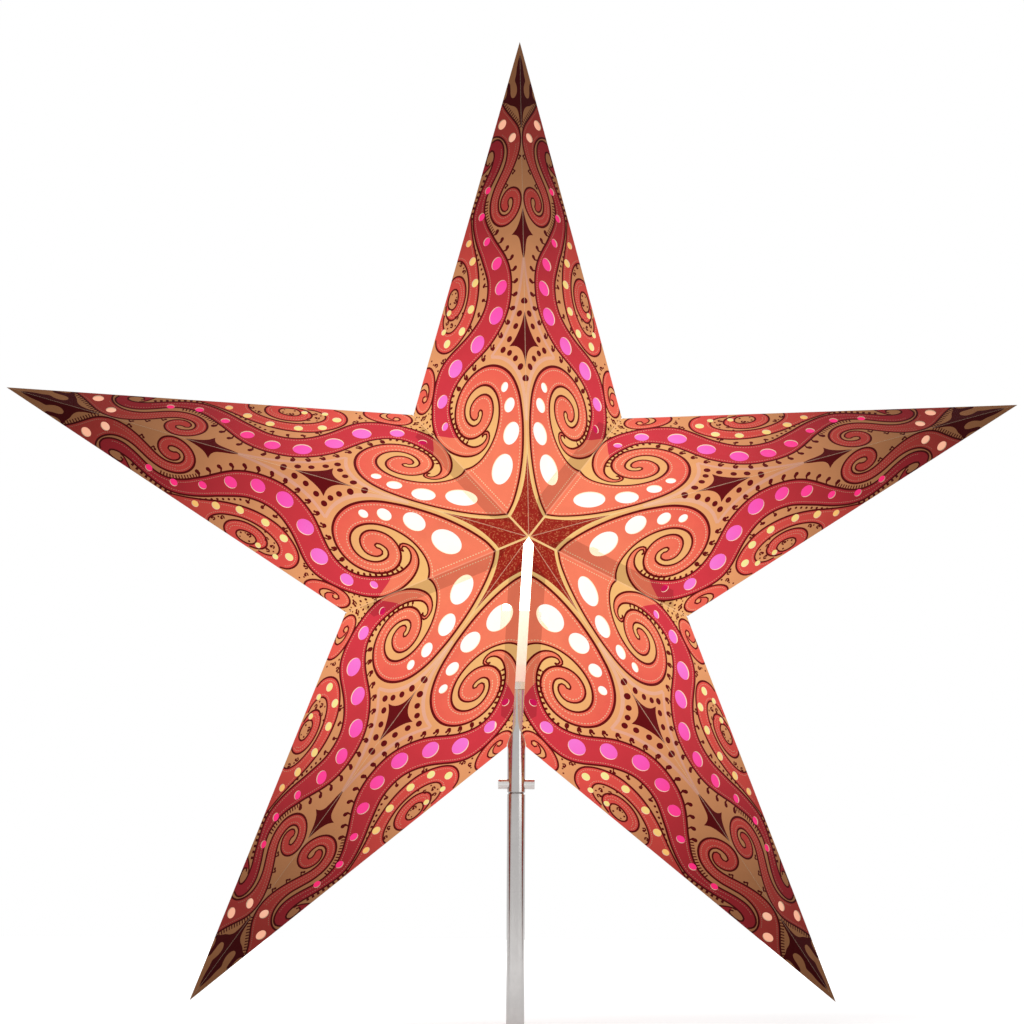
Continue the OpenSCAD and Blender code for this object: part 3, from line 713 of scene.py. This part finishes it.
def print_piece(name, i, layer, materials):
    verts, faces, slots, maps, folds, double = [], [], [], [], [], []
    count = 0
    for k in range(4):
        side, back = k % 2, k // 2
        seam = i == (LOWER_LEFT if side else LOWER_RIGHT)
        flat, height, tris, inks, layers = panel_print(layer, side, seam)
        used, index = np.unique(tris, return_inverse=True)
        face = index.reshape(-1, 3)
        flat, height = flat[used], height[used]
        if side != back:
            face = face[:, ::-1]
        verts.append(fold(flat, side, back, i * TURN, height[:, None]))
        faces.append(face + count)
        slots.append(inks)
        maps.append(bake_place(flat, k)[face].reshape(-1, 2))
        folds.append(np.stack([flat[:, 0], flat @ VALLEY_IN, (flat - [NOTCH_U, NOTCH_V]) @ EDGE_IN], 1))
        double.append(layers)
        count += len(used)
    mesh = bpy.data.meshes.new(name)
    mesh.from_pydata(np.vstack(verts), [], np.vstack(faces))
    mesh.polygons.foreach_set("material_index", np.concatenate(slots).astype(np.int32))
    mesh.uv_layers.new(name="OFBake").data.foreach_set("uv", np.vstack(maps).astype(np.float32).ravel())
    mesh.attributes.new("folds", "FLOAT_VECTOR", "POINT").data.foreach_set(
        "vector", np.vstack(folds).astype(np.float32).ravel())
    mesh.attributes.new("double_layer", "FLOAT", "FACE").data.foreach_set(
        "value", np.concatenate(double).astype(np.float32))
    for material in materials:
        mesh.materials.append(material)
    mesh.validate()
    ob = bpy.data.objects.new(name, mesh)
    bpy.context.scene.collection.objects.link(ob)
    return ob


# ---------------------------------------------------------------- shader groups


def shader_group(name, inputs, outputs):
    return new_tree(name, "ShaderNodeTree", inputs, outputs)


def math_node(nodes, link, operation, a, b=None, clamp=False):
    node = nodes.new("ShaderNodeMath")
    node.operation = operation
    node.use_clamp = clamp
    for slot, value in ((0, a), (1, b)):
        if value is None:
            continue
        if isinstance(value, (int, float)):
            node.inputs[slot].default_value = value
        else:
            link(value, node.inputs[slot])
    return node.outputs[0]


def noise_node(nodes, link, place, scale, detail=3.0, rough=0.5):
    node = nodes.new("ShaderNodeTexNoise")
    node.inputs["Scale"].default_value = scale
    node.inputs["Detail"].default_value = detail
    node.inputs["Roughness"].default_value = rough
    link(place, node.inputs["Vector"])
    return node.outputs["Fac"]


def span_node(nodes, link, value, low, high, at_low, at_high):
    node = nodes.new("ShaderNodeMapRange")
    for name, number in (("From Min", low), ("From Max", high), ("To Min", at_low), ("To Max", at_high)):
        node.inputs[name].default_value = number
    link(value, node.inputs["Value"])
    return node.outputs["Result"]


def seen_rays(nodes, link):
    """1 for a ray of the camera, or one that metal or glass sends on, and 0 for a ray that lights."""
    rays = nodes.new("ShaderNodeLightPath")
    return math_node(nodes, link, "MAXIMUM", rays.outputs["Is Camera Ray"], math_node(
        nodes, link, "MAXIMUM", rays.outputs["Is Glossy Ray"], rays.outputs["Is Transmission Ray"]))


def lamp_group():
    """How brightly the lamp lights the paper from behind, by the distance from the lamp."""
    tree, given, result = shader_group(
        "Lamp behind the paper",
        [("Place", "NodeSocketVector", None), ("Reach", "NodeSocketFloat", 0.165),
         ("Fall", "NodeSocketFloat", 4.5), ("Brightness", "NodeSocketFloat", 0.87)],
        [("Glow", "NodeSocketFloat"), ("Distance", "NodeSocketFloat")])
    nodes, link = tree.nodes, tree.links.new
    far = nodes.new("ShaderNodeVectorMath")
    far.operation = "DISTANCE"
    far.inputs[1].default_value = tuple(LAMP)
    link(given.outputs["Place"], far.inputs[0])
    ratio = math_node(nodes, link, "DIVIDE", far.outputs["Value"], given.outputs["Reach"])
    dims = math_node(nodes, link, "POWER", ratio, given.outputs["Fall"])
    glow = math_node(nodes, link, "DIVIDE", given.outputs["Brightness"],
                     math_node(nodes, link, "ADD", dims, 1.0))
    link(glow, result.inputs["Glow"])
    link(far.outputs["Value"], result.inputs["Distance"])
    return tree


def paper_group():
    """Cloudy, fibrous look-through of the card, and its fine surface."""
    tree, given, result = shader_group(
        "Card fibres",
        [("Place", "NodeSocketVector", None), ("Cloud", "NodeSocketFloat", 0.1)],
        [("Tone", "NodeSocketFloat"), ("Height", "NodeSocketFloat")])
    nodes, link = tree.nodes, tree.links.new
    place = given.outputs["Place"]
    cloud = noise_node(nodes, link, place, 90, 4, 0.6)
    fibre = noise_node(nodes, link, place, 1400, 3, 0.7)
    wave = noise_node(nodes, link, place, 14, 1, 0.4)
    sway = math_node(nodes, link, "SUBTRACT", cloud, 0.5)
    grain = math_node(nodes, link, "SUBTRACT", fibre, 0.5)
    both = math_node(nodes, link, "ADD", sway, math_node(nodes, link, "MULTIPLY", grain, 0.7))
    tone = math_node(nodes, link, "ADD", 1.0, math_node(
        nodes, link, "MULTIPLY", both, math_node(nodes, link, "MULTIPLY", given.outputs["Cloud"], 2.0)))
    link(tone, result.inputs["Tone"])
    height = math_node(nodes, link, "ADD", math_node(nodes, link, "MULTIPLY", fibre, 0.12),
                       math_node(nodes, link, "MULTIPLY", wave, 1.0))
    link(height, result.inputs["Height"])
    return tree


def folds_group():
    """Worn line along each fold, from the distances to the ridge, the valley and the edge."""
    tree, given, result = shader_group(
        "Worn folds",
        [("Distances", "NodeSocketVector", None), ("Place", "NodeSocketVector", None),
         ("Width", "NodeSocketFloat", 0.45)],
        [("Wear", "NodeSocketFloat")])
    nodes, link = tree.nodes, tree.links.new
    parts = nodes.new("ShaderNodeSeparateXYZ")
    link(given.outputs["Distances"], parts.inputs[0])
    nearest = math_node(nodes, link, "MINIMUM", parts.outputs[0],
                        math_node(nodes, link, "MINIMUM", parts.outputs[1], parts.outputs[2]))
    uneven = math_node(nodes, link, "MULTIPLY", noise_node(nodes, link, given.outputs["Place"], 350), 2.0)
    reach = math_node(nodes, link, "MULTIPLY", given.outputs["Width"], uneven)
    share = math_node(nodes, link, "DIVIDE", nearest, reach)
    wear = math_node(nodes, link, "SUBTRACT", 1.0, share, clamp=True)
    link(wear, result.inputs["Wear"])
    return tree


def glitter_group():
    """Small flakes of random brightness: glitter the card really has, with painted glints."""
    tree, given, result = shader_group(
        "Glitter flakes",
        [("Place", "NodeSocketVector", None), ("Scale", "NodeSocketFloat", 1500.0),
         ("Share", "NodeSocketFloat", 0.75)],
        [("Flake", "NodeSocketFloat")])
    nodes, link = tree.nodes, tree.links.new
    cells = nodes.new("ShaderNodeTexVoronoi")
    link(given.outputs["Place"], cells.inputs["Vector"])
    link(given.outputs["Scale"], cells.inputs["Scale"])
    parts = nodes.new("ShaderNodeSeparateColor")
    link(cells.outputs["Color"], parts.inputs[0])
    over = math_node(nodes, link, "SUBTRACT", parts.outputs[0], given.outputs["Share"], clamp=True)
    flake = math_node(nodes, link, "MULTIPLY", over, 5.0, clamp=True)
    link(flake, result.inputs["Flake"])
    return tree


LAMP_GROUP = lamp_group()
PAPER_GROUP = paper_group()
FOLDS_GROUP = folds_group()
GLITTER_GROUP = glitter_group()

# ---------------------------------------------------------------- materials


class Finish:
    """A new material with its Principled shader, and short ways to add nodes to it."""

    def __init__(self, name, roughness=0.5, metallic=0.0, specular=0.5):
        self.material = bpy.data.materials.new(name)
        self.material.use_nodes = True
        self.nodes = self.material.node_tree.nodes
        self.link = self.material.node_tree.links.new
        self.shader = self.nodes["Principled BSDF"]
        self.shader.inputs["Roughness"].default_value = roughness
        self.shader.inputs["Metallic"].default_value = metallic
        self.shader.inputs["Specular IOR Level"].default_value = specular
        self.place = self.nodes.new("ShaderNodeTexCoord").outputs["Object"]

    def group(self, tree, **values):
        node = self.nodes.new("ShaderNodeGroup")
        node.node_tree = tree
        if "Place" in node.inputs:
            self.link(self.place, node.inputs["Place"])
        for name, value in values.items():
            if isinstance(value, (int, float)):
                node.inputs[name].default_value = value
            else:
                self.link(value, node.inputs[name])
        return node

    def attribute(self, name, output):
        node = self.nodes.new("ShaderNodeAttribute")
        node.attribute_name = name
        return node.outputs[output]

    def math(self, operation, a, b=None, clamp=False):
        return math_node(self.nodes, self.link, operation, a, b, clamp)

    def span(self, value, low, high, at_low=0.0, at_high=1.0):
        """Goes evenly from one number to another while the value goes from low to high."""
        return span_node(self.nodes, self.link, value, low, high, at_low, at_high)

    def noise(self, scale, detail=3.0, rough=0.5):
        return noise_node(self.nodes, self.link, self.place, scale, detail, rough)

    def ramp(self, factor, stops):
        node = self.nodes.new("ShaderNodeValToRGB")
        while len(node.color_ramp.elements) < len(stops):
            node.color_ramp.elements.new(0.5)
        for element, (at, colour) in zip(node.color_ramp.elements, stops):
            element.position = at
            element.color = (*colour, 1)
        self.link(factor, node.inputs["Fac"])
        return node.outputs["Color"]

    def scaled(self, colour, factor):
        """A colour times a factor. The colour is three numbers or a socket."""
        node = self.nodes.new("ShaderNodeVectorMath")
        node.operation = "SCALE"
        if isinstance(colour, tuple):
            node.inputs[0].default_value = colour
        else:
            self.link(colour, node.inputs[0])
        if isinstance(factor, (int, float)):
            node.inputs["Scale"].default_value = factor
        else:
            self.link(factor, node.inputs["Scale"])
        return node.outputs[0]

    def mixed(self, factor, a, b):
        node = self.nodes.new("ShaderNodeMix")
        node.data_type = "RGBA"
        self.link(factor, node.inputs["Factor"])
        for socket, value in ((node.inputs[6], a), (node.inputs[7], b)):
            if isinstance(value, tuple):
                socket.default_value = (*value, 1)
            else:
                self.link(value, socket)
        return node.outputs[2]

    def colour(self, source):
        self.link(source, self.shader.inputs["Base Color"])

    def glow(self, source):
        self.link(source, self.shader.inputs["Emission Color"])
        self.shader.inputs["Emission Strength"].default_value = 1.0
        self.material.cycles.emission_sampling = "NONE"

    def roughness(self, low, high, factor):
        self.link(self.span(factor, 0, 1, low, high), self.shader.inputs["Roughness"])

    def bump(self, height, distance, strength=1.0):
        node = self.nodes.new("ShaderNodeBump")
        node.inputs["Distance"].default_value = distance
        node.inputs["Strength"].default_value = strength
        self.link(height, node.inputs["Height"])
        self.link(node.outputs["Normal"], self.shader.inputs["Normal"])


SURFACE_SHARE = 0.1
# How much darker the glow is painted where a flap or hem lies behind the card: painted shade
PAINTED_SHADE_OF_LAYER_BEHIND = 0.3
WEAR_TINT = (0.95, 0.62, 0.42)


def printed(name, near, far, cloud=0.1, roughness=0.5, glitter=None):
    """Ink on card with the lamp behind it: some of its colour is in the surface, and most comes through.

    The lamp's glare on the ink is painted: the ink has a colour near the lamp and one far from it.
    """
    f = Finish(name, roughness, specular=0.02)
    lamp = f.group(LAMP_GROUP)
    paper = f.group(PAPER_GROUP, Cloud=cloud)
    wear = f.group(FOLDS_GROUP, Distances=f.attribute("folds", "Vector"))
    # Painted glare: the ink's colour shifts with the distance from the lamp.
    ink = f.mixed(f.span(lamp.outputs["Distance"], 0.078, 0.122), near, far)
    tint = f.mixed(f.math("MULTIPLY", wear.outputs["Wear"], 0.3), ink, WEAR_TINT)
    if glitter:
        # The flakes are real glitter, and their lighter colour, carried into the glow as well, is painted glint.
        flakes = f.group(GLITTER_GROUP)
        tint = f.mixed(f.math("MULTIPLY", flakes.outputs["Flake"], 0.65), tint, glitter)
        f.link(f.math("MULTIPLY", flakes.outputs["Flake"], 0.6), f.shader.inputs["Metallic"])
    tone = paper.outputs["Tone"]
    # Painted shade: the glow is darker where a flap or hem lies behind the card.
    painted_layer_shade = f.math("MULTIPLY", f.attribute("double_layer", "Fac"), PAINTED_SHADE_OF_LAYER_BEHIND)
    through = f.math("SUBTRACT", 1.0, painted_layer_shade)
    light = f.math("MULTIPLY", f.math("MULTIPLY", lamp.outputs["Glow"], tone), through)
    f.colour(f.scaled(tint, f.math("MULTIPLY", tone, SURFACE_SHARE)))
    f.glow(f.scaled(tint, light))
    f.roughness(roughness - 0.06, roughness + 0.1, f.noise(220))
    f.bump(paper.outputs["Height"], 0.0006)
    return f.material


def card_stock():
    """Unprinted inside and cut edges of the card, lit by the lamp."""
    f = Finish("card_stock", 0.7)
    lamp = f.group(LAMP_GROUP)
    paper = f.group(PAPER_GROUP, Cloud=0.12)
    white = (0.92, 0.72, 0.5)
    f.colour(f.scaled(white, f.math("MULTIPLY", paper.outputs["Tone"], 0.4)))
    f.glow(f.scaled(white, f.math("MULTIPLY", lamp.outputs["Glow"], paper.outputs["Tone"])))
    f.bump(paper.outputs["Height"], 0.0004)
    return f.material


# Distances from the lamp, in metres, between which the films' colours change
FILM_NEAR, FILM_FAR = 0.07, 0.3


def film(name, stops, glow=0.86, roughness=0.35, cloud=0.06):
    """Coloured film or tissue behind the windows. Its colour depends on how far the lamp is."""
    f = Finish(name, roughness, specular=0.05)
    lamp = f.group(LAMP_GROUP)
    paper = f.group(PAPER_GROUP, Cloud=cloud)
    # The film's colour, paler near the lamp, and its glow are painted lamp light.
    tint = f.ramp(f.span(lamp.outputs["Distance"], FILM_NEAR, FILM_FAR), [
        ((at - FILM_NEAR) / (FILM_FAR - FILM_NEAR), colour) for at, colour in stops])
    f.colour(f.scaled(tint, 0.1))
    f.glow(f.scaled(tint, f.math("MULTIPLY", paper.outputs["Tone"], glow)))
    f.bump(f.noise(260, 2), 0.0003)
    return f.material


def frosted_bulb():
    f = Finish("frosted_bulb", 0.35)
    split = f.nodes.new("ShaderNodeSeparateXYZ")
    f.link(f.place, split.inputs[0])
    glass = f.math("GREATER_THAN", split.outputs[2], BULB_CAP_TOP * MM)
    metal = f.math("SUBTRACT", 1.0, glass)
    f.colour(f.mixed(glass, (0.72, 0.56, 0.32), (0.9, 0.88, 0.84)))
    f.link(metal, f.shader.inputs["Metallic"])
    mottled = f.math("ADD", f.math("MULTIPLY", f.noise(60), 0.3), 0.85)
    f.link(f.scaled((1.0, 0.86, 0.66), f.math("MULTIPLY", glass, mottled)), f.shader.inputs["Emission Color"])
    f.shader.inputs["Emission Strength"].default_value = 5.0
    f.bump(f.noise(900, 2), 0.0001)
    return f.material


def metal(name, tint, low, high, brushed=None):
    f = Finish(name, low, 1.0)
    wear = f.noise(120, 4, 0.6)
    f.colour(f.mixed(wear, tint, tuple(0.8 * c for c in tint)))
    f.roughness(low, high, wear)
    if brushed:
        stretch = f.nodes.new("ShaderNodeMapping")
        stretch.inputs["Scale"].default_value = brushed
        f.link(f.place, stretch.inputs["Vector"])
        lines = f.nodes.new("ShaderNodeTexNoise")
        lines.inputs["Scale"].default_value = 1.0
        lines.inputs["Detail"].default_value = 2.0
        f.link(stretch.outputs["Vector"], lines.inputs["Vector"])
        f.bump(lines.outputs["Fac"], 0.00004)
    else:
        f.bump(f.noise(700, 2), 0.00003)
    return f.material


def moulded(name, tint):
    f = Finish(name, 0.4)
    lamp = f.group(LAMP_GROUP, Reach=0.05, Brightness=0.9)
    speck = f.noise(1200, 2)
    f.colour(f.mixed(speck, tint, tuple(0.92 * c for c in tint)))
    # The holder's glow is painted light of the bulb beside it, fading with the distance from the lamp.
    f.glow(f.scaled((1.0, 0.84, 0.62), f.math("MULTIPLY", lamp.outputs["Glow"], 0.5)))
    f.roughness(0.35, 0.5, f.noise(90))
    f.bump(speck, 0.00006)
    return f.material


def dress_nodes():
    # Colours at distances from the lamp, in metres
    stops = {
        "magenta_film": [(0.105, (1, 0.21, 0.72)), (0.134, (1, 0.1, 0.5)), (0.159, (1, 0.055, 0.31)),
                         (0.192, (1, 0.028, 0.22)), (0.22, (0.92, 0.018, 0.14))],
        "yellow_film": [(0.128, (0.97, 0.88, 0.34)), (0.145, (0.96, 0.76, 0.25)), (0.165, (0.94, 0.64, 0.21)),
                        (0.185, (0.94, 0.5, 0.15))],
        "white_tissue": [(0.13, (1.1, 1.08, 1.02)), (0.2, (1, 0.75, 0.55)), (0.245, (0.97, 0.47, 0.31))]}
    films = {kind: film(kind, stops[kind]) for kind in stops}
    card = card_stock()
    nickel = metal("nickel_plate", (0.66, 0.64, 0.62), 0.18, 0.3)
    polished = metal("polished_tube", (0.5, 0.48, 0.47), 0.06, 0.14, (2600, 2600, 8))
    brass = metal("brass", (0.78, 0.57, 0.25), 0.22, 0.34)
    plastic = moulded("holder_plastic", (0.86, 0.84, 0.8))
    finishes = {
        "light_bulb": frosted_bulb(), "screw_shell": brass, "centre_contact": brass,
        "holder_body": plastic, "holder_cap": plastic, "lock_nut": nickel, "joint_plug": nickel,
        "cross_pin": nickel, "stem_tube": polished, "foot_tube": polished}
    for point in POINT_NAMES:
        finishes["point_" + point] = card
        for kind in films:
            finishes[kind + "_" + point] = films[kind]
    for name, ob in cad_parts.items():
        finish = finishes[name]
        for slot in ob.material_slots:
            slot.material = finish
        if not ob.material_slots:
            ob.data.materials.append(finish)


# ---------------------------------------------------------------- room


FLOOR_HALF = 6.0
# The floor's own brightness near the object, and far behind it where it fades to the room's white
FLOOR_GLOW_NEAR, FLOOR_GLOW_FAR = 0.25, 0.9
# Soft lamps: name, place, size in metres and power in watts
STUDIO = (("key", (-1.6, -2.2, 2.2), 1.6, 55), ("fill", (2.2, -1.8, 1.2), 2.0, 22),
          ("back", (0.4, 2.4, 1.8), 2.0, 30))
ROOM_LIGHT = 0.55


def add_floor():
    mesh = bpy.data.meshes.new("floor")
    corners = [(-1, -1), (1, -1), (1, 1), (-1, 1)]
    mesh.from_pydata([(FLOOR_HALF * x, FLOOR_HALF * y, 0) for x, y in corners], [], [(0, 1, 2, 3)])
    floor = bpy.data.objects.new("floor", mesh)
    bpy.context.scene.collection.objects.link(floor)
    material = bpy.data.materials.new("floor")
    material.use_nodes = True
    nodes, link = material.node_tree.nodes, material.node_tree.links.new
    shader = nodes["Principled BSDF"]
    shader.inputs["Base Color"].default_value = (0.82, 0.82, 0.82, 1)
    shader.inputs["Roughness"].default_value = 0.9
    shader.inputs["Specular IOR Level"].default_value = 0.1
    shader.inputs["Emission Color"].default_value = (1, 1, 1, 1)
    far = nodes.new("ShaderNodeVectorMath")
    far.operation = "LENGTH"
    link(nodes.new("ShaderNodeTexCoord").outputs["Object"], far.inputs[0])
    glow = span_node(nodes, link, far.outputs["Value"], 0.6, 3.0, FLOOR_GLOW_NEAR, FLOOR_GLOW_FAR)
    link(math_node(nodes, link, "MULTIPLY", seen_rays(nodes, link), glow), shader.inputs["Emission Strength"])
    mesh.materials.append(material)


def add_room():
    add_floor()
    world = bpy.data.worlds.new("room")
    world.use_nodes = True
    bpy.context.scene.world = world
    nodes, link = world.node_tree.nodes, world.node_tree.links.new
    background = nodes["Background"]
    background.inputs["Color"].default_value = (1, 1, 1, 1)
    strength = span_node(nodes, link, seen_rays(nodes, link), 0, 1, ROOM_LIGHT, 1)
    link(strength, background.inputs["Strength"])
    for name, place, size, power in STUDIO:
        data = bpy.data.lights.new(name, "AREA")
        data.size = size
        data.energy = power
        light = bpy.data.objects.new(name, data)
        light.location = place
        aim = Vector((0, 0, 0.28)) - light.location
        light.rotation_euler = aim.to_track_quat("-Z", "Y").to_euler()
        bpy.context.scene.collection.objects.link(light)


# ---------------------------------------------------------------- the scene

add_camera()
add_room()
dress_nodes()

layer = cut_into_one_layer()
inks = [
    printed("tan_print", (1.0, 0.555, 0.2), (1.0, 0.42, 0.18), 0.07),
    printed("coral_print", (1.0, 0.23, 0.125), (1.0, 0.11, 0.088), 0.1),
    printed("crimson_print", (0.74, 0.045, 0.07), (0.77, 0.05, 0.066), 0.08),
    printed("maroon_print", (0.15, 0.005, 0.0045), (0.17, 0.006, 0.008), 0.15),
    printed("glitter_print", (0.36, 0.02, 0.012), (0.34, 0.018, 0.01), 0.15, 0.4,
            glitter=(0.7, 0.22, 0.09)),
    printed("gold_print", (1.0, 0.66, 0.25), (1.0, 0.5, 0.2), 0.05, 0.35),
    printed("cream_print", (1.0, 0.62, 0.36), (1.0, 0.5, 0.33), 0.05),
    printed("pale_print", (1.0, 0.6, 0.34), (1.0, 0.48, 0.33), 0.07),
    printed("film_over_flap", (0.9, 0.012, 0.14), (0.9, 0.01, 0.12), 0.06, 0.35)]
for i, point in enumerate(POINT_NAMES):
    piece = print_piece("print_" + point, i, layer, inks)
    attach(piece, "root")

bpy.context.scene.view_settings.view_transform = "Standard"
